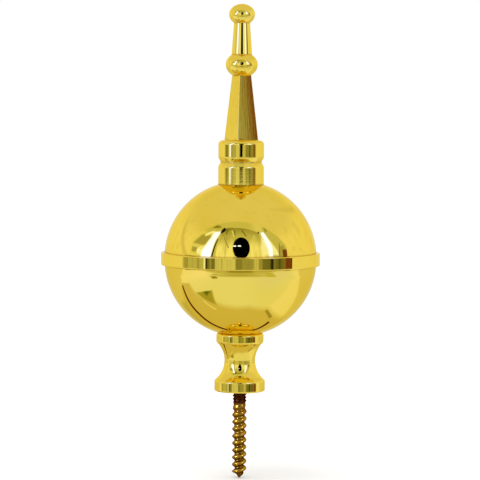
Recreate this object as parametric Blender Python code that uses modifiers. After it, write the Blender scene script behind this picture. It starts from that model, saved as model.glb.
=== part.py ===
"""Clock finial in brass: a pedestal, a belted ball in two halves, and a spire with a square taper, on a screw.

The origin is the centre of the pedestal's underside, which seats on the clock case.
+Z runs up the axis of the finial, and the screw hangs below the origin. Lengths are in metres.
"""

import math

import bmesh
import bpy

MM = 0.001

# Fits
SEAT_GAP = 0.1 * MM  # between a piece and the one that it seats on or goes round

# Pedestal, from the underside up
FOOT_RADIUS = 4.84 * MM
FOOT_HEIGHT = 2.04 * MM
WAIST_RADIUS = 2.955 * MM
COVE_RADIUS = 4.77 * MM
HEAD_RADIUS = 4.53 * MM
HEAD_HEIGHT = 1.57 * MM

# Ball and belt
BALL_RADIUS = 14.53 * MM
BALL_SINK = 0.42 * MM  # how far the ball's lowest point lies below the top of the pedestal
HALF_SPREAD = 0.6 * MM  # between the centres of the two half spheres
BELT_STAND = 0.67 * MM  # how far the belt's face stands out from the ball
BELT_HEIGHT = 2.4 * MM
BELT_EDGE_RADIUS = 0.15 * MM

# Spire, from the ball up
COLLAR_RADIUS = 4.36 * MM
LOWER_BAND_HEIGHT = 3.4 * MM
GROOVE_WIDTH = 1.75 * MM
GROOVE_DEPTH = 0.46 * MM
UPPER_BAND_HEIGHT = 2.53 * MM
SHOULDER_WIDTH = 1.17 * MM
SHOULDER_HEIGHT = 0.8 * MM
TAPER_BASE = 4.69 * MM  # side of the square taper on the collar
TAPER_TOP = 2.63 * MM  # side at the height where its corners reach the bead
TAPER_LENGTH = 12.33 * MM
TAPER_TURN = math.radians(-11.7)  # of one corner from +X, counter-clockwise seen from above
BEAD_RADIUS = 3.055 * MM
BEAD_HALF_HEIGHT = 2.45 * MM
NECK_BASE_RADIUS = 1.95 * MM
NECK_TOP_RADIUS = 1.53 * MM
NECK_LENGTH = 6.03 * MM
KNOB_RADIUS = 2.47 * MM
KNOB_HALF_HEIGHT = 2.02 * MM

# Screw, from the underside of the pedestal
STUD_DEPTH = 4.0 * MM  # length of fine thread inside the pedestal
STUD_EXPOSED = 2.45 * MM  # length of fine thread below it
STUD_RADIUS = 1.33 * MM
STUD_THREAD_DEPTH = 0.22 * MM
STUD_PITCH = 0.65 * MM
SCREW_LENGTH = 16.8 * MM  # everything below the pedestal
SHANK_RADIUS = 1.16 * MM  # of the plain core where the coarse thread begins
CORE_RADIUS_HIGH = 1.04 * MM  # of the core between the coarse ridges, tapering down to the low one
CORE_RADIUS_LOW = 0.85 * MM
RUN_OUT = 1.3 * MM  # length over which the coarse thread comes up to its full depth
CREST_RADIUS = 1.38 * MM
WOOD_PITCH = 1.37 * MM
RIDGE_BASE = 0.72 * MM  # width of the coarse ridge at the core
RIDGE_CREST = 0.12 * MM
CREST_DROP = 4.02 * MM  # depth at which the coarse ridge first crosses the +X side
TIP_LENGTH = 1.1 * MM
TIP_RADIUS = 0.1 * MM

# Facets
ARC_ERROR = 0.03 * MM  # how far a facet may stray from its arc
ROUND_STEPS = 48
THREAD_STEPS = 16
SPARE_TURNS = 2  # turns of thread wound past each end, which the flat cuts take off
JOIN_OVERLAP = 0.3 * MM  # how far the stud runs into the lower screw before the two are joined
MERGE = 0.001 * MM
SHARP_ANGLE = math.radians(40)

# Finish
BRASS = (0.90, 0.66, 0.18, 1.0)
BRASS_ROUGHNESS = 0.08
PLATED_STEEL = (0.62, 0.37, 0.08, 1.0)
STEEL_ROUGHNESS = 0.32


def make_material(name, colour, roughness):
    material = bpy.data.materials.new(name)
    material.use_nodes = True
    shader = material.node_tree.nodes["Principled BSDF"]
    shader.inputs["Base Color"].default_value = colour
    shader.inputs["Metallic"].default_value = 1.0
    shader.inputs["Roughness"].default_value = roughness
    return material


def reach(radius, offset):
    """How far a circle of this radius reaches, at this distance from its centre line."""
    return math.sqrt(radius**2 - offset**2)


def ellipse_height(radii, across):
    """Height of an ellipse of radii (across, up) above its centre, where it is this far across."""
    return radii[1] * math.sqrt(1 - (across / radii[0]) ** 2)


def arc(centre, radii, start, end):
    """Points (r, z) on an ellipse of radii (across, up) about a centre, from a start to an end angle."""
    widest = 2 * math.acos(1 - min(ARC_ERROR / max(radii), 1.0))
    steps = math.ceil(abs(end - start) / widest)
    turns = [start + (end - start) * step / steps for step in range(steps + 1)]
    return [(centre[0] + radii[0] * math.cos(turn), centre[1] + radii[1] * math.sin(turn)) for turn in turns]


def rounding(radii, centre, upper, lower):
    """The outer side of a turned bead, from the neck of radius upper down to the neck of radius lower."""
    return arc((0.0, centre), radii, math.acos(upper / radii[0]), -math.acos(lower / radii[0]))


def turned(name, profile, height, closed=False):
    """A brass piece turned about Z, from a profile of (r, z) that runs down its outer side."""
    mesh = bpy.data.meshes.new(name)
    edges = [(index, index + 1) for index in range(len(profile) - 1)]
    if closed:
        edges.append((len(profile) - 1, 0))
    mesh.from_pydata([(r, 0.0, z) for r, z in profile], edges, [])
    mesh.materials.append(make_material(f"{name}_brass", BRASS, BRASS_ROUGHNESS))
    piece = bpy.data.objects.new(name, mesh)
    piece.location.z = height
    lathe = piece.modifiers.new("lathe", "SCREW")
    lathe.axis = "Z"
    lathe.steps = lathe.render_steps = ROUND_STEPS
    lathe.use_merge_vertices = True
    lathe.merge_threshold = MERGE
    lathe.use_smooth_shade = True
    return piece


def pedestal_heights():
    """Heights of the narrowest part of the waist, of the head's lower edge and of its top."""
    cove_axis = WAIST_RADIUS + COVE_RADIUS
    waist = FOOT_HEIGHT + reach(COVE_RADIUS, cove_axis - FOOT_RADIUS)
    head = waist + reach(COVE_RADIUS, cove_axis - HEAD_RADIUS)
    return waist, head, head + HEAD_HEIGHT


def lower_half_height():
    """Height of the centre of the lower half sphere."""
    return pedestal_heights()[2] - BALL_SINK + BALL_RADIUS


def make_pedestal():
    waist, head, top = pedestal_heights()
    cove_axis = WAIST_RADIUS + COVE_RADIUS
    head_turn = math.asin((head - waist) / COVE_RADIUS)
    foot_turn = math.asin((waist - FOOT_HEIGHT) / COVE_RADIUS)
    dish_radius = BALL_RADIUS + SEAT_GAP
    dish_edge = math.asin((top - lower_half_height()) / dish_radius)
    bore_radius = STUD_RADIUS + SEAT_GAP
    bore_depth = STUD_DEPTH + SEAT_GAP
    profile = arc((0.0, lower_half_height()), (dish_radius, dish_radius), -math.pi / 2, dish_edge)
    profile.append((HEAD_RADIUS, top))
    profile += arc((cove_axis, waist), (COVE_RADIUS, COVE_RADIUS), math.pi - head_turn, math.pi + foot_turn)
    profile += [(FOOT_RADIUS, 0.0), (bore_radius, 0.0), (bore_radius, bore_depth), (0.0, bore_depth)]
    return turned("pedestal", profile, 0.0)


def make_ball_halves():
    """Two half spheres, each with a short straight wall that runs to the joint behind the belt."""
    wall = (HALF_SPREAD - SEAT_GAP) / 2
    upper = arc((0.0, 0.0), (BALL_RADIUS, BALL_RADIUS), math.pi / 2, 0.0)
    upper += [(BALL_RADIUS, -wall), (0.0, -wall)]
    lower = [(r, -z) for r, z in reversed(upper)]
    return [
        turned("ball_lower_half", lower, lower_half_height()),
        turned("ball_upper_half", upper, lower_half_height() + HALF_SPREAD),
    ]


def make_belt():
    inner = BALL_RADIUS + SEAT_GAP
    corner = BALL_RADIUS + BELT_STAND - BELT_EDGE_RADIUS
    edge = (BELT_EDGE_RADIUS, BELT_EDGE_RADIUS)
    rise = BELT_HEIGHT / 2 - BELT_EDGE_RADIUS
    profile = [(inner, BELT_HEIGHT / 2)]
    profile += arc((corner, rise), edge, math.pi / 2, 0.0)
    profile += arc((corner, -rise), edge, 0.0, -math.pi / 2)
    profile.append((inner, -BELT_HEIGHT / 2))
    return turned("belt_ring", profile, lower_half_height() + HALF_SPREAD / 2, closed=True)


def join(piece, other):
    """Joins another object to a piece, and hides it."""
    other.hide_render = True
    other.display_type = "WIRE"
    union = piece.modifiers.new(other.name, "BOOLEAN")
    union.operation = "UNION"
    union.object = other


def square_taper(foot, top, taper_foot, height):
    """A square bar between these heights, which has its full side at the taper's foot."""
    narrowing = (TAPER_BASE - TAPER_TOP) / TAPER_LENGTH
    bar = bmesh.new()
    bmesh.ops.create_cone(
        bar,
        cap_ends=True,
        segments=4,
        radius1=(TAPER_BASE - narrowing * (foot - taper_foot)) / math.sqrt(2),
        radius2=(TAPER_BASE - narrowing * (top - taper_foot)) / math.sqrt(2),
        depth=top - foot,
    )
    mesh = bpy.data.meshes.new("square_taper")
    bar.to_mesh(mesh)
    bar.free()
    mesh.materials.append(make_material("square_taper_brass", BRASS, BRASS_ROUGHNESS))
    taper = bpy.data.objects.new("square_taper", mesh)
    taper.location.z = height + (foot + top) / 2
    taper.rotation_euler.z = TAPER_TURN
    return taper


def make_spire():
    """The turned spire, whose own zero height is where the collar meets the ball, and its square taper."""
    groove_low = LOWER_BAND_HEIGHT
    groove_high = groove_low + GROOVE_WIDTH
    band_top = groove_high + UPPER_BAND_HEIGHT
    taper_foot = band_top + SHOULDER_HEIGHT
    core = TAPER_TOP / 4  # radius of the turned core inside the taper
    bead = (BEAD_RADIUS, BEAD_HALF_HEIGHT)
    bead_centre = taper_foot + TAPER_LENGTH + ellipse_height(bead, TAPER_TOP / math.sqrt(2))
    neck_top = bead_centre + ellipse_height(bead, NECK_BASE_RADIUS) + NECK_LENGTH
    knob = (KNOB_RADIUS, KNOB_HALF_HEIGHT)
    knob_centre = neck_top + ellipse_height(knob, NECK_TOP_RADIUS)
    shoulder = (SHOULDER_WIDTH, SHOULDER_HEIGHT)
    seat_drop = reach(BALL_RADIUS, COLLAR_RADIUS)
    seat_radius = BALL_RADIUS + SEAT_GAP
    seat_edge = math.acos(COLLAR_RADIUS / seat_radius)

    profile = rounding(knob, knob_centre, 0.0, NECK_TOP_RADIUS)
    profile += rounding(bead, bead_centre, NECK_BASE_RADIUS, core)
    profile.append((core, taper_foot))
    profile += arc((COLLAR_RADIUS - SHOULDER_WIDTH, band_top), shoulder, math.pi / 2, 0.0)
    profile.append((COLLAR_RADIUS, groove_high))
    profile.append((COLLAR_RADIUS - GROOVE_DEPTH, (groove_low + groove_high) / 2))
    profile.append((COLLAR_RADIUS, groove_low))
    profile += arc((0.0, -seat_drop), (seat_radius, seat_radius), seat_edge, math.pi / 2)
    height = lower_half_height() + HALF_SPREAD + seat_drop
    spire = turned("spire", profile, height)
    taper = square_taper(band_top, bead_centre, taper_foot, height)
    join(spire, taper)
    return spire, taper


def threaded_rod(ridge, pitch, low, high, crossing, radius_at):
    """A rod with a right-handed ridge, cut flat at a low and a high end.

    ridge lists (height, share of the full depth) over one pitch, starting at the middle of the crest.
    crossing is a height at which the crest crosses +X, and radius_at(height, share) gives the radius.
    """
    start = crossing - pitch * (math.ceil((crossing - low) / pitch) + SPARE_TURNS)
    turns = math.ceil((high - start) / pitch) + SPARE_TURNS
    # While the ridge is wound, the share stands in for the radius, one millimetre further out.
    outline = [(MM * (1.0 + share), 0.0, start + height) for height, share in [*ridge, (pitch, ridge[0][1])]]
    rod = bmesh.new()
    corners = [rod.verts.new(point) for point in outline]
    line = [rod.edges.new(pair) for pair in zip(corners, corners[1:])]
    bmesh.ops.spin(
        rod,
        geom=[*corners, *line],
        axis=(0.0, 0.0, 1.0),
        cent=(0.0, 0.0, 0.0),
        dvec=(0.0, 0.0, pitch / THREAD_STEPS),
        angle=math.tau * turns,
        steps=THREAD_STEPS * turns,
    )
    bmesh.ops.remove_doubles(rod, verts=rod.verts[:], dist=MERGE)
    for vertex in rod.verts:
        wound = math.hypot(vertex.co.x, vertex.co.y)
        radius = radius_at(vertex.co.z, wound / MM - 1.0)
        vertex.co.x *= radius / wound
        vertex.co.y *= radius / wound
    for height, side in ((low, -1.0), (high, 1.0)):
        cut = bmesh.ops.bisect_plane(
            rod,
            geom=[*rod.verts, *rod.edges, *rod.faces],
            dist=MERGE,
            plane_co=(0.0, 0.0, height),
            plane_no=(0.0, 0.0, side),
            clear_outer=True,
        )
        rim = [item for item in cut["geom_cut"] if isinstance(item, bmesh.types.BMEdge)]
        bmesh.ops.contextual_create(rod, geom=rim)
    bmesh.ops.recalc_face_normals(rod, faces=rod.faces[:])
    return rod


def steel_object(name, rod):
    mesh = bpy.data.meshes.new(name)
    rod.to_mesh(mesh)
    rod.free()
    mesh.materials.append(make_material(f"{name}_steel", PLATED_STEEL, STEEL_ROUGHNESS))
    mesh.shade_smooth()
    mesh.set_sharp_from_angle(angle=SHARP_ANGLE)
    return bpy.data.objects.new(name, mesh)


def share_of(value, start, end):
    """How far a value has come from start to end, held between 0 and 1."""
    return min(max((value - start) / (end - start), 0.0), 1.0)


def stud_radius(height, share):
    """Radius of the fine thread, which fades into its own core where the coarse thread begins."""
    core = STUD_RADIUS - STUD_THREAD_DEPTH
    return core + STUD_THREAD_DEPTH * share * share_of(height, -STUD_EXPOSED, STUD_PITCH / 2 - STUD_EXPOSED)


def wood_radius(height, share):
    """Radius of the coarse thread: a tapered core, a ridge that grows out of the shank, and a point."""
    top = -STUD_EXPOSED
    tip = TIP_LENGTH - SCREW_LENGTH
    grown = share_of(height, top, top - RUN_OUT)
    full_core = CORE_RADIUS_HIGH + (CORE_RADIUS_LOW - CORE_RADIUS_HIGH) * share_of(height, top, tip)
    core = SHANK_RADIUS + (full_core - SHANK_RADIUS) * grown
    body = core + (CREST_RADIUS - core) * share * grown
    return TIP_RADIUS + (body - TIP_RADIUS) * share_of(height, -SCREW_LENGTH, tip)


def make_screw():
    """The screw, and the stud that is joined to it."""
    fine_ridge = [(0.0, 1.0), (STUD_PITCH / 2, 0.0)]
    coarse_ridge = [
        (0.0, 1.0),
        (RIDGE_CREST / 2, 1.0),
        (RIDGE_BASE / 2, 0.0),
        (WOOD_PITCH - RIDGE_BASE / 2, 0.0),
        (WOOD_PITCH - RIDGE_CREST / 2, 1.0),
    ]
    stud_foot = -STUD_EXPOSED - JOIN_OVERLAP
    fine = threaded_rod(fine_ridge, STUD_PITCH, stud_foot, STUD_DEPTH, 0.0, stud_radius)
    coarse = threaded_rod(coarse_ridge, WOOD_PITCH, -SCREW_LENGTH, -STUD_EXPOSED, -CREST_DROP, wood_radius)
    screw = steel_object("wood_screw", coarse)
    stud = steel_object("stud", fine)
    join(screw, stud)
    return screw, stud


def main():
    for leftover in list(bpy.data.objects):
        bpy.data.objects.remove(leftover, do_unlink=True)
    finial = bpy.data.collections.new("clock_finial")
    cutters = bpy.data.collections.new("cutters")
    bpy.context.scene.collection.children.link(finial)
    bpy.context.scene.collection.children.link(cutters)
    axis = bpy.data.objects.new("finial_axis", None)
    finial.objects.link(axis)

    screw, stud = make_screw()
    spire, taper = make_spire()
    for piece in [make_pedestal(), *make_ball_halves(), make_belt(), spire, screw]:
        piece.parent = axis
        finial.objects.link(piece)
    for shape in (stud, taper):
        cutters.objects.link(shape)


main()
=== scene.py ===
"""Clock finial in polished brass: a belted ball on a pedestal, a square tapered spire and a wood screw.

Drawings are in millimetres, and MM makes them metres. The origin is the centre of the pedestal's underside.
"""

import math

import bmesh
import bpy
from mathutils import Matrix, Vector


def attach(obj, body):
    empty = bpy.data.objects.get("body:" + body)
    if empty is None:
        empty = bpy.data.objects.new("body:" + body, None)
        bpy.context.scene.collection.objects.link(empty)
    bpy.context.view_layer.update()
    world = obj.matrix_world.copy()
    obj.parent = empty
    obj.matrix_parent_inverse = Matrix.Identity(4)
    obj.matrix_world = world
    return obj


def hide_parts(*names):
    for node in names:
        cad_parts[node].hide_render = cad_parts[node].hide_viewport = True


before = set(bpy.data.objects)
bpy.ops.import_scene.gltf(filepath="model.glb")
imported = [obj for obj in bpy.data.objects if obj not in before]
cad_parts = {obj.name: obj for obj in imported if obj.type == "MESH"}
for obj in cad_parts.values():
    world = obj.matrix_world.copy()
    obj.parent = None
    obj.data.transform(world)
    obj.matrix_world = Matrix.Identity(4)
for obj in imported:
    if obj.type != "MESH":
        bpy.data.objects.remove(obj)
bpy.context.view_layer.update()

MM = 0.001
ROUND_STEPS = 160
WELD = 0.0005 * MM
HOLD = 0.06  # how far from a corner a flat band gets the ring that keeps it flat
CORNER_STEPS = 6
SHARP_ANGLE = math.radians(32)

# Ball and belt
BALL_RADIUS = 14.53
LOWER_CENTRE, UPPER_CENTRE = 25.061, 25.661
JOINT_LOW, JOINT_HIGH = 25.351, 25.371
BELT_RADIUS, BELT_LOW, BELT_HIGH = 15.2, 24.161, 26.561
SEAT = 0.02  # clearance of a piece that sits on the ball

# Pedestal
FOOT_RADIUS, FOOT_TOP = 4.84, 2.04
HEAD_RADIUS, HEAD_LOW, HEAD_TOP = 4.53, 9.381, 10.951
COVE_RADIUS, COVE_AXIS, WAIST = 4.77, 7.725, 5.839
DISH_EDGE = 4.25
BORE_RADIUS, BORE_TOP = 1.36, 4.03

# Spire
COLLAR_RADIUS = 4.36
GROOVE_RADIUS, GROOVE_LOW, GROOVE_HIGH = 3.90, 42.921, 44.671
BAND_TOP, SHOULDER_TOP, SHOULDER_WIDTH = 47.201, 48.001, 1.17
TAPER_BASE, TAPER_TOP, TAPER_LENGTH, TAPER_EDGE = 4.69, 2.63, 12.33, 0.1
TAPER_TURN = math.radians(-11.7)
BEAD_RADIUS, BEAD_HALF, BEAD_CENTRE = 3.055, 2.45, 62.275
NECK_BASE, NECK_TOP = 1.95, 1.53
KNOB_RADIUS, KNOB_HALF, KNOB_CENTRE = 2.47, 2.02, 71.778

# Screw
STUD_TOP, STUD_FOOT = 4.0, -2.45
STUD_RADIUS, STUD_DEPTH, STUD_PITCH = 1.33, 0.22, 0.65
SCREW_TIP = -16.8
SHANK_RADIUS, CORE_HIGH, CORE_LOW, CREST_RADIUS = 1.16, 1.04, 0.85, 1.38
WOOD_PITCH, CREST_START = 1.37, -4.02
RUN_OUT, TIP_LENGTH, TIP_RADIUS = 1.3, 1.1, 0.1
THREAD_STEPS = 56
SPARE_TURNS = 2


# Shapes


def smooth_piece(name, bm):
    """A smooth-shaded object from a finished mesh, with its creases kept sharp."""
    bmesh.ops.remove_doubles(bm, verts=bm.verts[:], dist=WELD)
    bmesh.ops.recalc_face_normals(bm, faces=bm.faces[:])
    mesh = bpy.data.meshes.new(name)
    bm.to_mesh(mesh)
    bm.free()
    mesh.shade_smooth()
    mesh.set_sharp_from_angle(angle=SHARP_ANGLE)
    piece = bpy.data.objects.new(name, mesh)
    bpy.context.scene.collection.objects.link(piece)
    return piece


class Template:
    """The outline of a piece in the XZ plane, drawn with a pen and then turned about Z or drawn out."""

    def __init__(self, across, up):
        self.bm = bmesh.new()
        self.pen = self.bm.verts.new((across * MM, 0.0, up * MM))
        self.rounding = 0.0
        self.corners = {}

    def line(self, across, up, rounded=0.0):
        """Draws a straight line, with a ring near each end that keeps the turned band flat.

        The corner that it ends in is rounded by the given size once the drawing is done.
        """
        start, stop = self.pen.co.copy(), Vector((across * MM, 0.0, up * MM))
        way = (stop - start).normalized()
        stations = [stop]
        if (stop - start).length > (self.rounding + rounded + 3 * HOLD) * MM:
            first, last = start + way * (self.rounding + HOLD) * MM, stop - way * (rounded + HOLD) * MM
            stations = [first, last, stop]
        for station in stations:
            following = self.bm.verts.new(station)
            self.bm.edges.new((self.pen, following))
            self.pen = following
        self.corner(rounded)

    def corner(self, rounded):
        """Marks the corner under the pen to be rounded by this much."""
        self.rounding = rounded
        if rounded:
            self.corners.setdefault(rounded, []).append(self.pen)

    def swing(self, across, up, degrees, steps, flatness=1.0, rounded=0.0):
        """Swings the pen clockwise about a centre, on a circle that is flattened in height."""
        centre = Vector((across * MM, 0.0, up * MM))
        flatten = Matrix.Translation(centre) @ Matrix.Diagonal((1.0, 1.0, flatness, 1.0))
        flatten = flatten @ Matrix.Translation(-centre)
        self.pen.co = flatten.inverted() @ self.pen.co
        before = set(self.bm.verts) - {self.pen}
        spun = bmesh.ops.spin(
            self.bm,
            geom=[self.pen],
            cent=centre,
            axis=(0.0, 1.0, 0.0),
            angle=math.radians(degrees),
            steps=steps,
        )
        drawn = [vertex for vertex in self.bm.verts if vertex not in before]
        bmesh.ops.transform(self.bm, matrix=flatten, verts=drawn)
        (self.pen,) = [item for item in spun["geom_last"] if isinstance(item, bmesh.types.BMVert)]
        self.corner(rounded)

    def round_corners(self):
        """Rounds every corner that has been marked for it."""
        for size, corners in self.corners.items():
            bmesh.ops.bevel(
                self.bm,
                geom=corners,
                offset=size * MM,
                offset_type="OFFSET",
                segments=CORNER_STEPS,
                profile=0.5,
                affect="VERTICES",
                material=-1,
            )

    def turn(self, name):
        """The turned piece."""
        self.round_corners()
        bmesh.ops.spin(
            self.bm,
            geom=[*self.bm.verts, *self.bm.edges],
            cent=(0.0, 0.0, 0.0),
            axis=(0.0, 0.0, 1.0),
            angle=math.tau,
            steps=ROUND_STEPS,
            use_merge=True,
        )
        return smooth_piece(name, self.bm)

    def draw_out(self, name, foot, top, ratio, turn):
        """The closed outline as a bar between two heights, with its top smaller by a ratio."""
        self.round_corners()
        bmesh.ops.remove_doubles(self.bm, verts=self.bm.verts[:], dist=WELD)
        bmesh.ops.rotate(self.bm, matrix=Matrix.Rotation(-math.pi / 2, 3, "X"), verts=self.bm.verts[:])
        bmesh.ops.contextual_create(self.bm, geom=self.bm.edges[:])
        raised = bmesh.ops.extrude_face_region(self.bm, geom=self.bm.faces[:], use_keep_orig=True)
        upper = [item for item in raised["geom"] if isinstance(item, bmesh.types.BMVert)]
        bmesh.ops.scale(self.bm, vec=(ratio, ratio, 1.0), verts=upper)
        bmesh.ops.translate(self.bm, vec=(0.0, 0.0, (top - foot) * MM), verts=upper)
        place = Matrix.Translation((0.0, 0.0, foot * MM)) @ Matrix.Rotation(turn, 4, "Z")
        bmesh.ops.transform(self.bm, matrix=place, verts=self.bm.verts[:])
        return smooth_piece(name, self.bm)


def joined(name, first, second):
    """Two closed shapes made into one piece."""
    union = first.modifiers.new("union", "BOOLEAN")
    union.operation = "UNION"
    union.object = second
    whole = bpy.data.meshes.new_from_object(first.evaluated_get(bpy.context.evaluated_depsgraph_get()))
    bpy.data.objects.remove(first)
    bpy.data.objects.remove(second)
    whole.name = name
    whole.shade_smooth()
    whole.set_sharp_from_angle(angle=SHARP_ANGLE)
    piece = bpy.data.objects.new(name, whole)
    bpy.context.scene.collection.objects.link(piece)
    return piece


def taper_side(height):
    """Side of the square taper at a height."""
    return TAPER_BASE - (TAPER_BASE - TAPER_TOP) * (height - SHOULDER_TOP) / TAPER_LENGTH


def square_taper(foot, top):
    """The square bar between these heights, with its long edges rounded."""
    half = taper_side(foot) / 2
    outline = Template(half, 0.0)
    for across, up in ((half, half), (-half, half), (-half, -half), (half, -half)):
        outline.line(across, up, rounded=TAPER_EDGE)
    outline.line(half, 0.0)
    ratio = taper_side(top) / taper_side(foot)
    return outline.draw_out("square_taper", foot, top, ratio, TAPER_TURN - math.pi / 4)


def tapered_spire():
    """The spire, drawn from the top of its knob down, with a thin core that the square taper hides."""
    ball_face = BALL_RADIUS + SEAT
    core = TAPER_TOP / 4
    collar_foot = UPPER_CENTRE + math.sqrt(ball_face**2 - COLLAR_RADIUS**2)
    knob_end = 180 - math.degrees(math.asin(NECK_TOP / KNOB_RADIUS))
    bead_start = math.degrees(math.asin(NECK_BASE / BEAD_RADIUS))
    bead_end = 180 - math.degrees(math.asin(core / BEAD_RADIUS))
    neck_foot = BEAD_CENTRE + BEAD_HALF * math.cos(math.radians(bead_start))
    shoulder = COLLAR_RADIUS - SHOULDER_WIDTH

    outline = Template(0.0, KNOB_CENTRE + KNOB_HALF)
    outline.swing(0.0, KNOB_CENTRE, knob_end, 40, KNOB_HALF / KNOB_RADIUS, rounded=0.08)
    outline.line(NECK_BASE, neck_foot, rounded=0.08)
    outline.swing(0.0, BEAD_CENTRE, bead_end - bead_start, 40, BEAD_HALF / BEAD_RADIUS)
    outline.line(core, SHOULDER_TOP)
    outline.line(shoulder, SHOULDER_TOP)
    outline.swing(shoulder, BAND_TOP, 90, 14, (SHOULDER_TOP - BAND_TOP) / SHOULDER_WIDTH)
    outline.line(COLLAR_RADIUS, GROOVE_HIGH, rounded=0.14)
    outline.line(GROOVE_RADIUS, (GROOVE_LOW + GROOVE_HIGH) / 2, rounded=0.12)
    outline.line(COLLAR_RADIUS, GROOVE_LOW, rounded=0.14)
    outline.line(COLLAR_RADIUS, collar_foot)
    outline.swing(0.0, UPPER_CENTRE, -math.degrees(math.asin(COLLAR_RADIUS / ball_face)), 12)
    return joined("tapered_spire", outline.turn("turned_spire"), square_taper(BAND_TOP, BEAD_CENTRE))


def ball_shells():
    """The upper and lower halves of the ball, closed at the joint between them."""
    upper = Template(0.0, UPPER_CENTRE + BALL_RADIUS)
    upper.swing(0.0, UPPER_CENTRE, 90, 72)
    upper.line(BALL_RADIUS, JOINT_HIGH)
    upper.line(0.0, JOINT_HIGH)
    lower = Template(0.0, JOINT_LOW)
    lower.line(BALL_RADIUS, JOINT_LOW)
    lower.line(BALL_RADIUS, LOWER_CENTRE)
    lower.swing(0.0, LOWER_CENTRE, 90, 72)
    return upper.turn("ball_upper_shell"), lower.turn("ball_lower_shell")


def belt_band():
    """The belt, started and ended behind its upper edge."""
    inner = BALL_RADIUS + SEAT
    outline = Template(inner, (BELT_LOW + BELT_HIGH) / 2)
    outline.line(inner, BELT_HIGH)
    outline.line(BELT_RADIUS, BELT_HIGH, rounded=0.15)
    outline.line(BELT_RADIUS, BELT_LOW, rounded=0.15)
    outline.line(inner, BELT_LOW)
    outline.line(inner, (BELT_LOW + BELT_HIGH) / 2)
    return outline.turn("belt_band")


def turned_pedestal():
    """The pedestal, drawn from the middle of its dish round to the hole for the stud."""
    dish = BALL_RADIUS + SEAT
    head_turn = math.degrees(math.asin((HEAD_LOW - WAIST) / COVE_RADIUS))
    foot_turn = math.degrees(math.asin((WAIST - FOOT_TOP) / COVE_RADIUS))
    outline = Template(0.0, LOWER_CENTRE - dish)
    outline.swing(0.0, LOWER_CENTRE, -math.degrees(math.asin(DISH_EDGE / dish)), 12, rounded=0.05)
    outline.line(HEAD_RADIUS, HEAD_TOP - 0.02, rounded=0.2)
    outline.line(HEAD_RADIUS, HEAD_LOW, rounded=0.2)
    outline.swing(COVE_AXIS, WAIST, -(head_turn + foot_turn), 24, rounded=0.2)
    outline.line(FOOT_RADIUS, 0.0, rounded=0.22)
    outline.line(BORE_RADIUS, 0.0)
    outline.line(BORE_RADIUS, BORE_TOP)
    outline.line(0.0, BORE_TOP)
    return outline.turn("turned_pedestal")


def threaded_rod(ridge, pitch, low, high, crossing, radius_at):
    """A rod with a right-handed ridge, cut flat at both ends, as a mesh in progress.

    ridge lists (height, share of the full depth) over one pitch, starting at the middle of the crest.
    crossing is a height at which the crest crosses +X, and radius_at(height, share) gives the radius.
    """
    start = crossing - pitch * (math.ceil((crossing - low) / pitch) + SPARE_TURNS)
    turns = math.ceil((high - start) / pitch) + SPARE_TURNS
    rod = bmesh.new()
    points = [(1.0 + share, start + height) for height, share in [*ridge, (pitch, ridge[0][1])]]
    corners = [rod.verts.new((across * MM, 0.0, up * MM)) for across, up in points]
    line = [rod.edges.new(pair) for pair in zip(corners, corners[1:])]
    bmesh.ops.spin(
        rod,
        geom=[*corners, *line],
        axis=(0.0, 0.0, 1.0),
        cent=(0.0, 0.0, 0.0),
        dvec=(0.0, 0.0, pitch * MM / THREAD_STEPS),
        angle=math.tau * turns,
        steps=THREAD_STEPS * turns,
    )
    bmesh.ops.remove_doubles(rod, verts=rod.verts[:], dist=WELD)
    for vertex in rod.verts:
        wound = math.hypot(vertex.co.x, vertex.co.y) / MM
        radius = radius_at(vertex.co.z / MM, wound - 1.0)
        vertex.co.x *= radius / wound
        vertex.co.y *= radius / wound
    for height, side in ((low, -1.0), (high, 1.0)):
        cut = bmesh.ops.bisect_plane(
            rod,
            geom=[*rod.verts, *rod.edges, *rod.faces],
            dist=WELD,
            plane_co=(0.0, 0.0, height * MM),
            plane_no=(0.0, 0.0, side),
            clear_outer=True,
        )
        rim = [item for item in cut["geom_cut"] if isinstance(item, bmesh.types.BMEdge)]
        bmesh.ops.contextual_create(rod, geom=rim)
    return rod


def share_of(value, start, end):
    """How far a value has come from start to end, held between 0 and 1."""
    return min(max((value - start) / (end - start), 0.0), 1.0)


def stud_radius(height, share):
    """Radius of the fine thread, which fades into its own core where the coarse thread begins."""
    core = STUD_RADIUS - STUD_DEPTH
    return core + STUD_DEPTH * share * share_of(height, STUD_FOOT, STUD_FOOT + STUD_PITCH / 2)


def wood_radius(height, share):
    """Radius of the coarse thread: a tapered core, a ridge that grows out of the shank, and a point."""
    tip = SCREW_TIP + TIP_LENGTH
    grown = share_of(height, STUD_FOOT, STUD_FOOT - RUN_OUT)
    full_core = CORE_HIGH + (CORE_LOW - CORE_HIGH) * share_of(height, STUD_FOOT, tip)
    core = SHANK_RADIUS + (full_core - SHANK_RADIUS) * grown
    body = core + (CREST_RADIUS - core) * share * grown
    return TIP_RADIUS + (body - TIP_RADIUS) * share_of(height, SCREW_TIP, tip)


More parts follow.
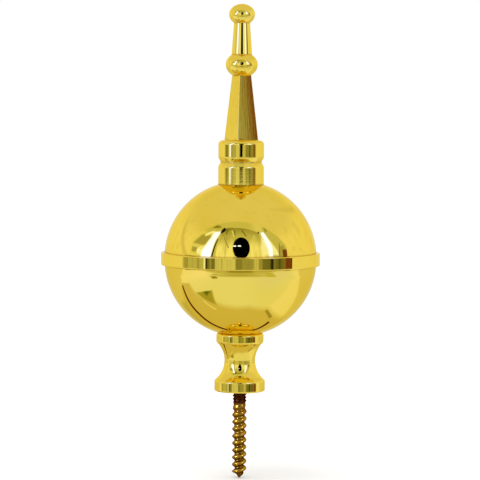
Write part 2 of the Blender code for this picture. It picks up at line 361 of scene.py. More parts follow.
def wood_screw():
    """The screw: a stud with a fine thread, joined to a coarse thread with a point."""
    fine_ridge = [(0.0, 1.0), (0.05, 0.93), (0.13, 0.62), (0.24, 0.16), (0.29, 0.03), (0.325, 0.0)]
    fine_ridge += [(STUD_PITCH - height, share) for height, share in reversed(fine_ridge[1:-1])]
    half = WOOD_PITCH / 2
    coarse_ridge = [(0.0, 1.0), (0.07, 0.985), (0.15, 0.92), (0.23, 0.79), (0.32, 0.57), (0.40, 0.34)]
    coarse_ridge += [(0.48, 0.15), (0.57, 0.03), (half, 0.0)]
    coarse_ridge += [(WOOD_PITCH - height, share) for height, share in reversed(coarse_ridge[1:-1])]
    fine = threaded_rod(fine_ridge, STUD_PITCH, STUD_FOOT - 0.3, STUD_TOP, 0.0, stud_radius)
    coarse = threaded_rod(coarse_ridge, WOOD_PITCH, SCREW_TIP, STUD_FOOT, CREST_START, wood_radius)
    return joined("threaded_screw", smooth_piece("coarse_screw", coarse), smooth_piece("stud", fine))


# Finishes


class Amount:
    """A socket in the maths of a finish."""

    def __init__(self, finish, socket):
        self.finish, self.socket = finish, socket

    def math(self, operation, *values):
        return self.finish.node("ShaderNodeMath", {"operation": operation}, dict(enumerate(values)))

    def __add__(self, other):
        return self.math("ADD", self, other)

    def __radd__(self, other):
        return self.math("ADD", other, self)

    def __sub__(self, other):
        return self.math("SUBTRACT", self, other)

    def __rsub__(self, other):
        return self.math("SUBTRACT", other, self)

    def __mul__(self, other):
        return self.math("MULTIPLY", self, other)

    def __rmul__(self, other):
        return self.math("MULTIPLY", other, self)

    def __truediv__(self, other):
        return self.math("DIVIDE", self, other)

    def __rtruediv__(self, other):
        return self.math("DIVIDE", other, self)

    def __pow__(self, other):
        return self.math("POWER", self, other)

    def __abs__(self):
        return self.math("ABSOLUTE", self)


class Finish:
    """A material in the making, on the coordinates of the piece in millimetres."""

    def __init__(self, name):
        self.material = bpy.data.materials.new(name)
        self.material.use_nodes = True
        self.tree = self.material.node_tree
        self.shader = self.tree.nodes["Principled BSDF"]
        place = self.node("ShaderNodeTexCoord", output="Object")
        self.place = self.node("ShaderNodeVectorMath", {"operation": "SCALE"}, {0: place, "Scale": 1 / MM})
        self.x, self.y, self.z = (
            self.node("ShaderNodeSeparateXYZ", {}, {0: self.place}, axis) for axis in "XYZ"
        )
        self.radius = (self.x * self.x + self.y * self.y) ** 0.5

    def node(self, kind, settings=None, sockets=None, output=0):
        """A node from its type, its settings and the values or links of its sockets."""
        node = self.tree.nodes.new(kind)
        for setting, value in (settings or {}).items():
            if setting == "stops":
                for place, colour in value[2:]:  # a ramp starts with two stops
                    node.color_ramp.elements.new(place)
                for element, (place, colour) in zip(node.color_ramp.elements, value):
                    element.position, element.color = place, (*colour, 1.0)
            else:
                setattr(node, setting, value)
        for key, value in (sockets or {}).items():
            self.feed(node.inputs[key], value)
        return Amount(self, node.outputs[output])

    def feed(self, socket, value):
        if isinstance(value, Amount):
            self.tree.links.new(value.socket, socket)
        elif socket.type == "RGBA" and len(value) == 3:
            socket.default_value = (*value, 1.0)
        else:
            socket.default_value = value

    def wear(self, **values):
        """Sets the shader's sockets, named with underscores for spaces."""
        for name, value in values.items():
            self.feed(self.shader.inputs[name.replace("_", " ")], value)

    def noise(self, scale, detail=2.0, stretch=(1.0, 1.0, 1.0), place=None):
        """Soft noise with about this many blotches to a millimetre."""
        place = self.node(
            "ShaderNodeVectorMath", {"operation": "MULTIPLY"}, {0: place or self.place, 1: stretch}
        )
        sockets = {"Vector": place, "Scale": scale, "Detail": detail}
        return self.node("ShaderNodeTexNoise", {}, sockets, "Fac")

    def blend(self, share, first, second):
        """A colour between two, by a share."""
        return self.node("ShaderNodeMix", {"data_type": "RGBA"}, {0: share, 6: first, 7: second}, 2)

    def step(self, value, low, high):
        """A smooth step from 0 to 1 as a value goes from low to high."""
        return self.node(
            "ShaderNodeMapRange",
            {"interpolation_type": "SMOOTHSTEP"},
            {"Value": value, "From Min": low, "From Max": high},
        )

    def near(self, value, middle, width):
        """1 where a value is at the middle, fading to 0 at this distance from it."""
        return 1.0 - self.step(abs(value - middle), 0.0, width)

    def relief(self, height):
        """A bump from a height in millimetres."""
        sockets = {"Strength": 1.0, "Distance": MM, "Height": height}
        self.wear(Normal=self.node("ShaderNodeBump", {}, sockets, "Normal"))


BRASS = (0.90, 0.64, 0.08)
BRASS_PALE = (0.92, 0.665, 0.10)
BRASS_WARM = (0.88, 0.605, 0.06)
BRASS_STROKE = (0.76, 0.53, 0.05)
# warm dark brown laid into the creases: partly tarnish, partly painted shade
BRASS_TARNISH_AND_SHADE = (0.56, 0.28, 0.03)
BRASS_GRAZING = (0.93, 0.83, 0.50)
TURNING_DEPTH = 0.00006
STROKE_DEPTH, FINE_STROKE_DEPTH, RING_DEPTH = 0.0007, 0.0001, 0.0022

PLATING_AND_ROOT_SHADE = [  # from the root of the thread to its crest, which is duller; the dark root is partly painted shade
    (0.0, (0.14, 0.066, 0.005)),
    (0.996, (0.54, 0.31, 0.035)),
    (1.0, (0.37, 0.195, 0.018)),
]
# painted shade under the ridges
PLATING_UNDERSIDE_SHADE = (0.12, 0.05, 0.004)
PLATING_BLOTCH = (0.46, 0.22, 0.03)
# painted shade near the pedestal's foot, and nearly black on the fine thread
PLATING_SHADE_NEAR_FOOT = (0.17, 0.062, 0.004)
PLATING_STUD_SHADE = (0.045, 0.010, 0.006)
PLATING_GRAZING = (0.34, 0.17, 0.04)
GRAIN_DEPTH, BLOTCH_DEPTH = 0.0015, 0.005


def tarnished_and_shaded(finish, colour, joints):
    """The colour with a warmer, darker tone in the joints, partly tarnish and partly painted shade, and how
    thick the tarnish is.

    joints lists (height, radius, width) of each crease where the polish is thicker and painted shade is
    laid.
    """
    creases = [
        finish.near(finish.z, height, width) * finish.near(finish.radius, radius, width)
        for height, radius, width in joints
    ]
    crease = sum(creases[1:], creases[0])
    blotch = finish.noise(1.4, 3.0)
    # The creases get a darker, warmer colour: partly tarnish, partly painted shade
    return finish.blend(crease * (0.35 + 0.5 * blotch), colour, BRASS_TARNISH_AND_SHADE), crease * blotch


def polished_brass(name, joints, ball_centre=None):
    """Mirror-polished brass, with fine turning marks and a warmer tone in the joints, partly tarnish and
    partly painted shade.
    """
    finish = Finish(name)
    drift = finish.step(finish.noise(0.09, 3.0), 0.35, 0.65)
    colour = finish.blend(0.55, finish.blend(drift, BRASS_WARM, BRASS_PALE), BRASS)
    colour, tarnish = tarnished_and_shaded(finish, colour, joints)
    along = finish.z
    if ball_centre is not None:
        along = finish.z.math("ARCTAN2", finish.z - ball_centre, finish.radius) * BALL_RADIUS
    rings = finish.node(
        "ShaderNodeCombineXYZ", {}, {"X": finish.x * 0.03, "Y": finish.y * 0.03, "Z": along}
    )
    turning = finish.noise(5.0, 2.0, place=rings)
    smear = finish.noise(0.22, 4.0, stretch=(1.0, 1.0, 0.6))
    finish.wear(
        Base_Color=colour,
        Metallic=1.0,
        Roughness=0.03 + 0.04 * finish.step(smear, 0.45, 0.75) + 0.12 * tarnish,
        Specular_Tint=BRASS_GRAZING,
    )
    finish.relief(turning * TURNING_DEPTH)
    return finish.material


def spire_brass(joints):
    """The spire's brass: turned rings low on the collar, and a taper brushed lengthwise."""
    finish = Finish("spire_brass")
    drift = finish.step(finish.noise(0.12, 3.0), 0.35, 0.65)
    colour = finish.blend(0.5, finish.blend(drift, BRASS_WARM, BRASS_PALE), BRASS)
    # a warmer, darker tone in the joints: partly tarnish, partly painted shade
    colour, tarnish = tarnished_and_shaded(finish, colour, joints)
    taper_end = SHOULDER_TOP + TAPER_LENGTH
    taper = finish.step(finish.z, SHOULDER_TOP, SHOULDER_TOP + 0.05)
    taper = taper * (1.0 - finish.step(finish.z, taper_end - 0.4, taper_end))
    band = finish.step(finish.z, collar_foot, collar_foot + 0.2)
    band = band * (1.0 - finish.step(finish.z, GROOVE_LOW - 0.22, GROOVE_LOW - 0.02))
    strokes = finish.noise(3.2, 3.0, stretch=(1.0, 1.0, 0.025))
    fine_strokes = finish.noise(9.0, 2.0, stretch=(1.0, 1.0, 0.03))
    rings = finish.noise(5.5, 1.0, stretch=(0.02, 0.02, 1.0))
    colour = finish.blend(taper * 0.7 * finish.step(fine_strokes, 0.42, 0.68), colour, BRASS_STROKE)
    finish.wear(
        Base_Color=colour,
        Metallic=1.0,
        Roughness=0.03 + 0.045 * band + 0.12 * tarnish,
        Specular_Tint=BRASS_GRAZING,
    )
    brushing = STROKE_DEPTH * strokes + FINE_STROKE_DEPTH * fine_strokes
    finish.relief(taper * brushing + band * RING_DEPTH * rings)
    return finish.material


def plated_steel():
    """Yellow-plated steel, golden on the ridge and brown in the roots, partly from painted shade, with
    painted shade under the ridges and towards the pedestal's foot, where the fine thread is nearly black.
    """
    finish = Finish("plated_steel")
    cloud = finish.noise(1.1, 4.0)
    crest = finish.step(finish.radius + 0.16 * (cloud - 0.5), 0.86, 1.34)
    # Darker towards the root: partly the plating's own tone, partly painted shade in the recess
    colour = finish.node("ShaderNodeValToRGB", {"stops": PLATING_AND_ROOT_SHADE}, {"Fac": crest})
    normal = finish.node("ShaderNodeNewGeometry", output="Normal")
    facing = finish.node("ShaderNodeSeparateXYZ", {}, {0: normal}, "Z")
    # Painted shade on the ridges' downward-facing flanks
    underside_shade = finish.step(facing * -1.0, 0.1, 0.75)
    colour = finish.blend(underside_shade * 0.5, colour, PLATING_UNDERSIDE_SHADE)
    blotch = finish.noise(2.3, 3.0)
    colour = finish.blend(0.35 * finish.step(blotch, 0.5, 0.75), colour, PLATING_BLOTCH)
    # Painted shade towards the pedestal's foot: the top turns of the coarse thread darker, the fine thread
    # nearly black with a painted dark reflection
    upper = finish.step(finish.z + cloud, STUD_FOOT - 2.2, STUD_FOOT - 0.2)
    colour = finish.blend(0.65 * upper, colour, PLATING_SHADE_NEAR_FOOT)
    stud = finish.step(finish.z + 0.5 * cloud, STUD_FOOT - 0.1, STUD_FOOT + 0.7)
    colour = finish.blend(stud * 0.92, colour, PLATING_STUD_SHADE)
    grain = finish.noise(9.0, 3.0)
    finish.wear(
        Base_Color=colour,
        Metallic=1.0,
        Roughness=0.16 + 0.1 * cloud,
        Specular_Tint=PLATING_GRAZING,
    )
    finish.relief(GRAIN_DEPTH * grain + BLOTCH_DEPTH * blotch)
    return finish.material


# The pieces in their places


def fit(piece, node, finish):
    """Finishes a piece and puts it in its node's place."""
    piece.data.materials.clear()
    piece.data.materials.append(finish)
    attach(piece, "root")
    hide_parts(node)


belt_joints = [(BELT_LOW, BALL_RADIUS, 0.3), (BELT_HIGH, BALL_RADIUS, 0.3)]
collar_foot = UPPER_CENTRE + math.sqrt(BALL_RADIUS**2 - COLLAR_RADIUS**2)
neck_foot = BEAD_CENTRE + BEAD_HALF * math.sqrt(1 - (NECK_BASE / BEAD_RADIUS) ** 2)
neck_head = KNOB_CENTRE - KNOB_HALF * math.sqrt(1 - (NECK_TOP / KNOB_RADIUS) ** 2)
spire_joints = [
    (collar_foot, COLLAR_RADIUS, 0.35),
    ((GROOVE_LOW + GROOVE_HIGH) / 2, GROOVE_RADIUS, 0.4),
    (SHOULDER_TOP, TAPER_BASE * 0.6, 0.5),
    (SHOULDER_TOP + TAPER_LENGTH, TAPER_TOP * 0.6, 0.4),
    (neck_foot, NECK_BASE, 0.3),
    (neck_head, NECK_TOP, 0.25),
]
upper_ball_joints = [belt_joints[1], (collar_foot, COLLAR_RADIUS, 0.4)]
upper_shell, lower_shell = ball_shells()
screw = wood_screw()
fit(screw, "wood_screw", plated_steel())
fit(turned_pedestal(), "pedestal",
    polished_brass("pedestal_brass", [(0.0, SHANK_RADIUS, 0.8)]))
fit(lower_shell, "ball_lower_half",
    polished_brass("ball_lower_brass", belt_joints[:1], LOWER_CENTRE))
fit(upper_shell, "ball_upper_half",
    polished_brass("ball_upper_brass", upper_ball_joints, UPPER_CENTRE))
fit(belt_band(), "belt_ring", polished_brass("belt_brass", belt_joints))
fit(tapered_spire(), "spire", spire_brass(spire_joints))


# The studio: a white tent with an open front, two soft boxes and the camera in the opening

MIDDLE = 25.5  # height that bearings in the studio are taken from
FLOOR = SCREW_TIP - 0.05
TENT_RADIUS = 3000.0
WALL_END = 0.1  # the lowest walls end this share of their radius behind the finial

BLACK = (0.0, 0.0, 0.0)
BOX_WHITE = (1.25, 1.75, 12.0)  # the cold white that brass mirrors as plain white
BOX_GLOW = (1.12, 1.36, 3.2)
LAMP_BLUE = (0.36, 0.45, 1.0)


class Surroundings(Finish):
    """A glowing finish, laid out by bearing and rise round the finial in degrees, or by place.

    Bearing 0 is straight before the finial, 90 is to its right and -90 to its left.
    """

    def __init__(self, name, colour):
        super().__init__(name)
        self.bearing = self.x.math("ARCTAN2", self.x, self.y * -1.0) * math.degrees(1.0)
        self.rise = self.x.math("ARCTAN2", self.z - MIDDLE, self.radius) * math.degrees(1.0)
        self.colour = colour

    def lay(self, colour, *shares):
        """Covers the colour so far by the product of these shares."""
        share = shares[0]
        for other in shares[1:]:
            share = share * other
        self.colour = self.blend(share, self.colour, colour)

    def within(self, value, low, high, soft):
        """1 between two values, fading to 0 over a soft edge at each."""
        risen = self.step(value, low - soft, low + soft)
        return risen * (1.0 - self.step(value, high - soft, high + soft))

    def beside(self, across, ahead, up):
        """0 on the near side of a plane through the middle of the tent, and 1 on the far side."""
        offset = self.x * (across / TENT_RADIUS) + self.y * (ahead / TENT_RADIUS)
        return self.step(offset + (self.z - MIDDLE) * (up / TENT_RADIUS), -0.02, 0.02)

    def fade(self):
        """Fades the card out over its soft edge."""
        self.wear(Alpha=self.node("ShaderNodeAttribute", {"attribute_name": "cover"}, {}, "Fac"))

    def show(self, card, strength=1.0):
        """Puts a card up where only the reflections see it."""
        self.wear(
            Base_Color=BLACK,
            Specular_IOR_Level=0.0,
            Emission_Color=self.colour,
            Emission_Strength=strength,
        )
        card.data.materials.append(self.material)
        card.visible_camera = card.visible_diffuse = False
        card.visible_shadow = card.visible_transmission = False


def card_of(name, corners, soft=0.0):
    """A flat card with these corners, in millimetres, and with its cover for a soft edge."""
    bm = bmesh.new()
    points = [bm.verts.new(Vector(corner) * MM) for corner in corners]
    rim = [bm.edges.new(pair) for pair in zip(points, points[1:] + points[:1])]
    bmesh.ops.contextual_create(bm, geom=rim)
    cover = bm.verts.layers.float.new("cover")
    if soft:
        bmesh.ops.inset_region(
            bm, faces=bm.faces[:], thickness=soft * MM, use_boundary=True, use_even_offset=True
        )
    for vertex in bm.verts:
        vertex[cover] = 0.0 if soft and vertex.is_boundary else 1.0
    mesh = bpy.data.meshes.new(name)
    bm.to_mesh(mesh)
    bm.free()
    card = bpy.data.objects.new(name, mesh)
    bpy.context.scene.collection.objects.link(card)
    return card


def soft_card(name, colour, soft, corners, strength=1.0):
    """An evenly glowing card."""
    finish = Surroundings(name, colour)
    if soft:
        finish.fade()
    finish.show(card_of(name, corners, soft), strength)


def front_card(name, depth, colour, soft, outline, strength=1.0):
    """An upright card at this distance before the finial, from its outline of (x, z)."""
    soft_card(name, colour, soft, [(x, -depth, z) for x, z in outline], strength)


def table_card(name, height, colour, soft, outline):
    """A card that lies on the table, from its outline of (x, y)."""
    soft_card(name, colour, soft, [(x, y, FLOOR + height) for x, y in outline])


def ring_wall(name, radius, low, high, end=1.0):
    """A low round wall about the finial, cut off behind it at this share of its radius."""
    bm = bmesh.new()
    bmesh.ops.create_cone(
        bm, segments=180, radius1=radius * MM, radius2=radius * MM, depth=(high - low) * MM
    )
    bmesh.ops.translate(bm, vec=(0.0, 0.0, (low + high) / 2 * MM), verts=bm.verts[:])
    bmesh.ops.bisect_plane(
        bm,
        geom=[*bm.verts, *bm.edges, *bm.faces],
        plane_co=(0.0, end * radius * MM, 0.0),
        plane_no=(0.0, 1.0, 0.0),
        clear_outer=True,
    )
    return smooth_piece(name, bm)


# The white floor that the camera sees
floor_corners = [(-4000, -4000, FLOOR), (4000, -4000, FLOOR), (4000, 4000, FLOOR), (-4000, 4000, FLOOR)]
floor = card_of("studio_floor", floor_corners)
floor_finish = Finish("studio_floor")
floor_mottle = floor_finish.noise(0.02, 2.0)
floor_finish.wear(
    Base_Color=floor_finish.blend(floor_mottle, (0.86, 0.86, 0.86), (0.88, 0.88, 0.88)),
    Roughness=1.0,
    Specular_IOR_Level=0.0,
    Emission_Color=(1.0, 1.0, 1.0),
    Emission_Strength=0.13,
)
floor.data.materials.append(floor_finish.material)
floor.visible_glossy = False

# The room that the tent's open front looks out on
tent = Surroundings("tent", (0.65, 0.72, 0.62))
bearing, rise = tent.bearing, tent.rise
tent.lay((0.80, 0.88, 0.95), tent.step(bearing, 15, 35), tent.step(rise, 30, 45))
tent.lay((0.62, 0.70, 0.65), tent.step(bearing, 38, 48), 1.0 - tent.step(rise, 42, 52))
tent.lay((0.34, 0.38, 0.22), tent.near(bearing, 47.5, 5.0), tent.within(rise, 38, 47, 2))
tent.lay((0.85, 0.95, 0.90), 1.0 - tent.step(bearing, -60, -54), 1.0 - tent.step(rise, 32, 38))
slope = bearing + 0.9 * (22 - rise)
tent.lay((0.45, 0.48, 0.35), tent.within(slope, -76, -54, 3), tent.within(rise, 17, 31, 2))
tent.lay((0.45, 0.48, 0.35), tent.within(bearing, -80, -70, 2), tent.within(rise, 7, 13, 1.5))
tent.lay((0.45, 0.48, 0.35), tent.within(bearing, 62, 71, 1.5), tent.within(rise, 9, 16, 1.5))
tent.lay((0.42, 0.47, 0.50), tent.within(bearing, 50, 67.16, 0.15), 1.0 - tent.step(rise, 9, 11))
tent.lay((0.19, 0.06, 0.02), tent.step(bearing, 66.98, 67.22), 1.0 - tent.step(rise, 9.5, 12.5))
lean = bearing - (rise - 4) * 0.22
tent.lay((0.10, 0.10, 0.08), tent.near(lean, 60.3, 0.9), tent.within(rise, 4, 20, 1))
room = tent.colour

# The tent's cloth, with the room in its opening
tent.colour = (0.96, 0.98, 0.97)
tent.lay((0.81, 0.83, 0.80), tent.step(rise, 18, 42))
tent.lay((0.74, 0.75, 0.72), tent.near(bearing + rise, -90.0, 9.0), 1.0 - tent.step(rise, 24, 34))
fold = bearing - (62.0 - rise) * 1.3
tent.lay((0.75, 0.76, 0.74), tent.near(fold, 97.0, 8.0), tent.within(rise, 25, 60, 4))
cloth = tent.noise(0.0022, 3.0)
tent.lay((0.72, 0.74, 0.71), 0.55 * tent.step(cloth, 0.5, 0.75))
opening = 1.0 - tent.beside(0.0825, 0.848, 0.53)
for side in ((-0.139, 0.99, 0.0), (0.26, 0.966, 0.0), (0.0, 0.19, -1.0)):
    opening = opening * (1.0 - tent.beside(*side))
tent.lay(room, opening)
tent_bm = bmesh.new()
bmesh.ops.create_uvsphere(tent_bm, u_segments=96, v_segments=64, radius=TENT_RADIUS * MM)
bmesh.ops.translate(tent_bm, vec=(0.0, 0.0, MIDDLE * MM), verts=tent_bm.verts[:])
tent.show(smooth_piece("tent", tent_bm))

# The boxes and what hangs about them
front_card("left_box_cover", 311, BOX_GLOW, 30.0, [
    (-236, 352), (-223, 306), (-264, 210), (-308, 26), (-617, 26), (-646, 165), (-480, 220), (-398, 302),
    (-388, 393), (-333, 398)])
front_card("left_box", 310, BOX_WHITE, 16.0, [
    (-226, 352), (-223, 306), (-264, 210), (-308, 26), (-548, 26), (-560, 120), (-440, 205), (-366, 290),
    (-350, 372)])
front_card("left_streak", 312, BOX_GLOW, 14.0, [
    (-336, 410), (-362, 361), (-574, 374), (-630, 435), (-457, 436)])
front_card("left_glow", 313, BOX_GLOW, 16.0, [
    (-630, 171), (-470, 225), (-801, 215), (-924, 178), (-772, 89), (-610, 77)], 0.96)
front_card("left_line", 306, BLACK, 2.5, [
    (-241, 244), (-227, 230), (-267, 70), (-286, 26), (-306, 26), (-291, 75)])
front_card("left_blob", 304, BLACK, 8.0, [
    (-196, 407), (-152, 354), (-166, 317), (-205, 291), (-230, 318), (-221, 367)])
front_card("left_corner", 305, (0.30, 0.32, 0.10), 12.0, [
    (-470, 512), (-363, 545), (-275, 482), (-221, 402), (-316, 428)])
front_card("right_glow", 314, BOX_GLOW, 30.0, [
    (270, 382), (325, 292), (430, 200), (540, 118), (540, 60), (182, 42), (172, 137), (205, 262)], 0.96)
front_card("right_box", 310, BOX_WHITE, 14.0, [
    (217, 326), (280, 358), (320, 269), (373, 164), (360, 52), (287, 48), (271, 110), (235, 213)])
front_card("right_box_rib", 306, (0.70, 0.72, 0.50), 1.0, [(235, 252), (241, 252), (289, 98), (283, 98)])
front_card("right_spot", 304, BLACK, 3.0, [(184, 325), (202, 327), (199, 299), (183, 286), (176, 301)])

# The curtain at the back of the room, with dark folds and light ones
curtain = Surroundings("curtain", (1.03, 1.16, 1.58))
curtain.lay((0.60, 0.67, 0.62), curtain.step(curtain.z, 150, 310))
curtain.lay((0.42, 0.46, 0.30), curtain.step(curtain.z, 300, 430))
curtain.lay((0.28, 0.30, 0.08), curtain.step(curtain.z, 425, 480))
pleats = curtain.noise(0.02, 3.0, stretch=(1.0, 1.0, 0.12))
curtain.lay((0.40, 0.44, 0.30), 0.5 * curtain.step(pleats, 0.5, 0.7))
curtain.fade()
curtain_outline = [
    (-335, -25), (335, -25), (300, 300), (245, 432), (144, 456), (67, 476), (-36, 488), (-192, 521),
    (-245, 510), (-300, 420)]
curtain.show(card_of("curtain", [(x, -420, z) for x, z in curtain_outline], 12.0))
for number, outline in enumerate((
    [(-265, 400), (-237, 361), (-130, 156), (-144, 153)],
    [(-99, 442), (-78, 437), (-65, 336), (-83, 338)],
    [(0, 430), (26, 431), (80, 314), (62, 309)],
    [(-210, 480), (-173, 465), (-191, 347), (-210, 379)],
)):
    front_card(f"curtain_fold_{number}", 418 - number * 0.2, (0.19, 0.21, 0.05), 4.0, outline)
for number, outline in enumerate((
    [(209, 351), (226, 374), (154, 200), (141, 196)],
    [(178, 358), (193, 363), (138, 223), (127, 222)],
    [(-131, 428), (-107, 422), (-69, 282), (-83, 284)],
)):
    front_card(f"curtain_light_{number}", 416 - number * 0.2, (0.95, 1.05, 1.2), 3.5, outline)

# The camera in the opening, on its stand, with two lights in its lens
camera_bm = bmesh.new()
bmesh.ops.create_circle(camera_bm, cap_ends=True, segments=48, radius=1.0)
upright = Matrix.Rotation(math.pi / 2, 4, "X") @ Matrix.Diagonal((70 * MM, 95 * MM, 1.0, 1.0))
camera_place = Matrix.Translation((6 * MM, -302 * MM, 126 * MM))
bmesh.ops.transform(camera_bm, matrix=camera_place @ upright, verts=camera_bm.verts)
bmesh.ops.bisect_plane(
    camera_bm,
    geom=[*camera_bm.verts, *camera_bm.edges, *camera_bm.faces],
    plane_co=(0.0, 0.0, 34.5 * MM),
    plane_no=(0.0, 0.0, -1.0),
    clear_outer=True,
)
Surroundings("camera_body", BLACK).show(smooth_piece("camera_body", camera_bm))
front_card("camera_stand", 303, (0.16, 0.17, 0.07), 0.0, [(-33, 27), (50, 27), (50, 34.5), (-33, 34.5)])
front_card("camera_light_left", 299, BOX_WHITE, 1.0, [(-61, 129), (-35, 129), (-35, 140), (-61, 140)], 1.2)
front_card("camera_light_right", 299, BOX_WHITE, 1.0, [(-22, 129), (3, 129), (3, 140), (-22, 140)], 1.2)


def low_wall(name, radius, low, high, colour, bars, end=1.0):
    """A low wall for the straight bands, with bars of (from bearing, to bearing, soft edge, colour)."""
    wall = Surroundings(name, colour)
    for start, stop, soft, shade in bars:
        wall.lay(shade, wall.within(wall.bearing, start, stop, soft))
    slats = wall.node(
        "ShaderNodeTexNoise", {"noise_dimensions": "1D"}, {"W": wall.bearing, "Scale": 0.7}, "Fac"
    )
    slatted = wall.within(wall.bearing, -90, 64, 2)
    wall.lay((0.16, 0.18, 0.08), 0.5 * wall.step(slats, 0.52, 0.72), slatted)
    wall.show(ring_wall(name, radius, low, high, end))


def stands(soften):
    """The legs of the stands, the curtain's foot and the dark side of the room, nearest to the floor."""
    return [
        (-90, 80, 1.5 * soften, (0.56, 0.62, 0.54)),
        (-87, -80, 2.0 * soften, (0.42, 0.46, 0.36)),
        (-64, -60, 1.5 * soften, (0.40, 0.44, 0.34)),
        (-54, -51, 0.8 * soften, (1.05, 1.3, 2.6)),
        (-50.2, -36, 0.8 * soften, (0.20, 0.23, 0.14)),
        (-50.2, -47.6, 0.7 * soften, (0.02, 0.02, 0.015)),
        (-44, -41.5, 1.0 * soften, (0.36, 0.40, 0.30)),
        (-36, -7, 1.5 * soften, (0.71, 0.79, 0.80)),
        (-27, -25, 1.0 * soften, (0.62, 0.68, 0.64)),
        (-6.5, 80, 1.0 * soften, (0.36, 0.40, 0.29)),
        (-6.5, 2, 2.0 * soften, (0.27, 0.30, 0.18)),
        (18.5, 25.5, 1.5 * soften, (0.68, 0.75, 0.74)),
        (31, 80, 1.5 * soften, (0.18, 0.20, 0.11)),
        (43, 47.5, 1.0 * soften, (0.025, 0.025, 0.02)),
        (48, 50.5, 0.8 * soften, (0.26, 0.28, 0.18)),
        (55, 59, 1.5 * soften, (0.11, 0.12, 0.06)),
        (62.5, 67, 1.0 * soften, (0.23, 0.21, 0.10)),
        (67, 76, 0.8 * soften, (0.20, 0.062, 0.02)),
        (76, 78.5, 0.8 * soften, (0.09, 0.03, 0.012)),
        (78.5, 84, 0.8 * soften, (0.92, 0.97, 1.0)),
    ]


low_wall("belt_surround", 400, -12.0, 7.0, (0.92, 0.96, 0.98), stands(0.6))
low_wall("head_surround", 220, -16.6, -11.2, (0.93, 1.02, 1.32), stands(1.3), WALL_END)
low_wall("foot_surround", 125, -16.6, -12.8, (0.93, 1.02, 1.32), stands(1.3), WALL_END)
low_wall("collar_surround", 400, 22.4, 40.6, (0.92, 0.96, 0.98), [
    (-90, 78, 1.5, (0.50, 0.55, 0.48)),
    (-83, -71, 1.5, (0.25, 0.27, 0.09)),
    (-62, -53, 1.5, BOX_GLOW),
    (-59, -55, 1.0, BOX_WHITE),
    (-51, -27, 1.5, (0.52, 0.57, 0.48)),
    (-46, -41, 2.0, (0.42, 0.46, 0.36)),
    (-25, -11, 2.0, (0.76, 0.84, 0.86)),
    (-6, 5.5, 1.5, BLACK),
    (10, 19, 2.0, (0.66, 0.74, 0.72)),
    (23, 78, 2.0, (0.29, 0.32, 0.20)),
    (41, 46, 1.5, (0.07, 0.08, 0.05)),
    (52, 60, 2.0, (0.35, 0.38, 0.26)),
    (63, 73, 1.5, (0.24, 0.13, 0.06)),
])

# The table

TABLE_WHITE = (0.87, 0.98, 1.25)


def table_tones(finish, x, y):
    """The tones of the table at a place on it."""
    finish.lay((1.0, 1.05, 1.5), 1.0 - finish.step(x, -140, -40))
    finish.lay((0.82, 0.93, 1.4), finish.step(x, 10, 60), 1.0 - finish.step(y, -60, -20))
    finish.lay((0.97, 1.03, 1.4), finish.step(x, 22, 30), finish.step(y, -18, -10))
    finish.lay((0.80, 0.82, 0.80), finish.step(y, 20, 30))
    behind = finish.step(y, 18, 24) * (1.0 - finish.step(y, 40, 80))
    finish.lay((0.60, 0.62, 0.52), behind, finish.within(x, -52, -18, 6))
    finish.lay((0.60, 0.65, 0.50), 1.0 - finish.step(y, -142, -104))
    finish.lay((0.36, 0.38, 0.12), 1.0 - finish.step(y, -175, -145), finish.within(x, -60, 60, 14))
    reach = (x * x + y * y) ** 0.5
    left, right = (finish.within(finish.bearing, *edges) for edges in ((-43, -34, 1.5), (36, 50, 3)))
    finish.lay((0.30, 0.29, 0.07), left, finish.within(reach, 106, 146, 4))
    finish.lay((0.60, 0.63, 0.26), right, finish.within(reach, 142, 172, 7))


table = Surroundings("table", TABLE_WHITE)
table_tones(table, table.x, table.y)
table_corners = [(x, y, FLOOR + 0.1) for x, y in ((-1500, -280), (1500, -280), (1500, 1500), (-1500, 1500))]
table.show(card_of("table", table_corners))
# A low screen with the table's own tones hides the foot's surround from the ball
screen = Surroundings("table_screen", TABLE_WHITE)
seen_from = LOWER_CENTRE - 2.5
throw = (seen_from - FLOOR) / (seen_from - screen.z)
table_tones(screen, screen.x * throw, screen.y * throw)
screen.show(ring_wall("table_screen", 60, 5.4, 8.9, WALL_END))
table_card("sheet", 0.2, (0.70, 0.67, 0.50), 8.0, [
    (-106, 29), (-96, -11), (-60, -14), (-30, -26), (10, -28), (28, -14), (34, 43)])
table_card("sheet_light", 0.3, (1.0, 1.0, 1.1), 0.8, [
    (-39, -11.4), (-20, -11.4), (-20, -13.8), (-39, -13.8)])
table_card("sheet_edge", 0.35, (0.10, 0.015, 0.01), 0.9, [
    (-90, 24.4), (-70, 21.4), (-30, 18.8), (-8, 22.2), (9, 23.4), (20, 14.8), (19, 9.4), (9, 17.2),
    (-8, 16.2), (-30, 12.8), (-70, 15.4), (-90, 18.4)])
table_card("olive_patch", 0.4, (0.42, 0.44, 0.12), 3.0, [
    (-60, -10.6), (-20, -18.6), (-41, -42.6), (-50, -30.6)])
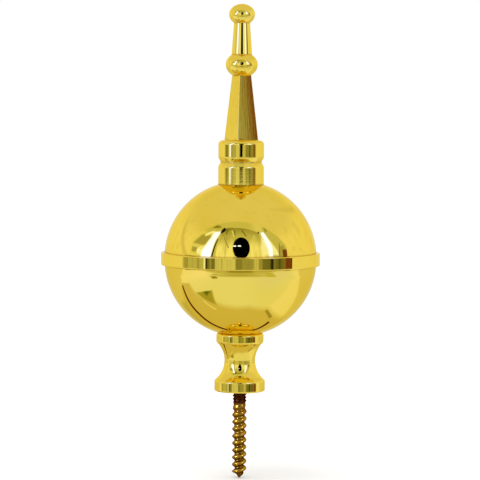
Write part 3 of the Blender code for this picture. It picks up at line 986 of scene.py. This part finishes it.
table_card("olive_tip", 0.42, (0.12, 0.18, 0.03), 4.0, [(-53, -24), (-38, -22), (-41, -40), (-49, -33)])
table_card("dark_spot", 0.5, (0.40, 0.37, 0.15), 1.0, [(20, 6), (24, 6), (24, -11), (20, -11)])

world = bpy.data.worlds.new("white_studio")
world.use_nodes = True
world.node_tree.nodes["Background"].inputs["Color"].default_value = (1.0, 1.0, 1.0, 1.0)
world.node_tree.nodes["Background"].inputs["Strength"].default_value = 1.0
bpy.context.scene.world = world


def soft_light(name, place, size, power, only=None):
    """A square lamp that points at the middle of the ball, or a blue one that glints in one piece only."""
    lamp = bpy.data.lights.new(name, "AREA")
    lamp.shape, lamp.size, lamp.energy = "SQUARE", size * MM, power
    holder = bpy.data.objects.new(name, lamp)
    holder.location = Vector(place) * MM
    toward = Vector((0.0, 0.0, MIDDLE * MM)) - holder.location
    holder.rotation_euler = toward.to_track_quat("-Z", "Y").to_euler()
    holder.visible_camera = holder.visible_glossy = False
    if only:
        lamp.color = LAMP_BLUE
        holder.visible_glossy = True
        holder.light_linking.receiver_collection = bpy.data.collections.new(f"lit_by_{name}")
        holder.light_linking.receiver_collection.objects.link(only)
    bpy.context.scene.collection.objects.link(holder)


soft_light("top_light", (-150, -100, 900), 500, 2.0)
soft_light("left_lamp", (-400, -308, 150), 160, 10.0, screw)
soft_light("right_lamp", (320, -308, 150), 110, 4.0, screw)

# The camera that takes the picture
lens = bpy.data.cameras.new("camera")
lens.lens = 165.31
lens.clip_start, lens.clip_end = 0.01, 30.0
camera = bpy.data.objects.new("camera", lens)
eye = Vector((-0.115, -420.0, 55.65)) * MM
aim = Vector((-0.115, 0.0, 28.907)) * MM
camera.location = eye
camera.rotation_mode = "QUATERNION"
roll = Matrix.Rotation(math.radians(0.38), 4, "Z").to_quaternion()
camera.rotation_quaternion = (aim - eye).to_track_quat("-Z", "Y") @ roll
bpy.context.scene.collection.objects.link(camera)
bpy.context.scene.camera = camera
bpy.context.scene.view_settings.view_transform = "Standard"
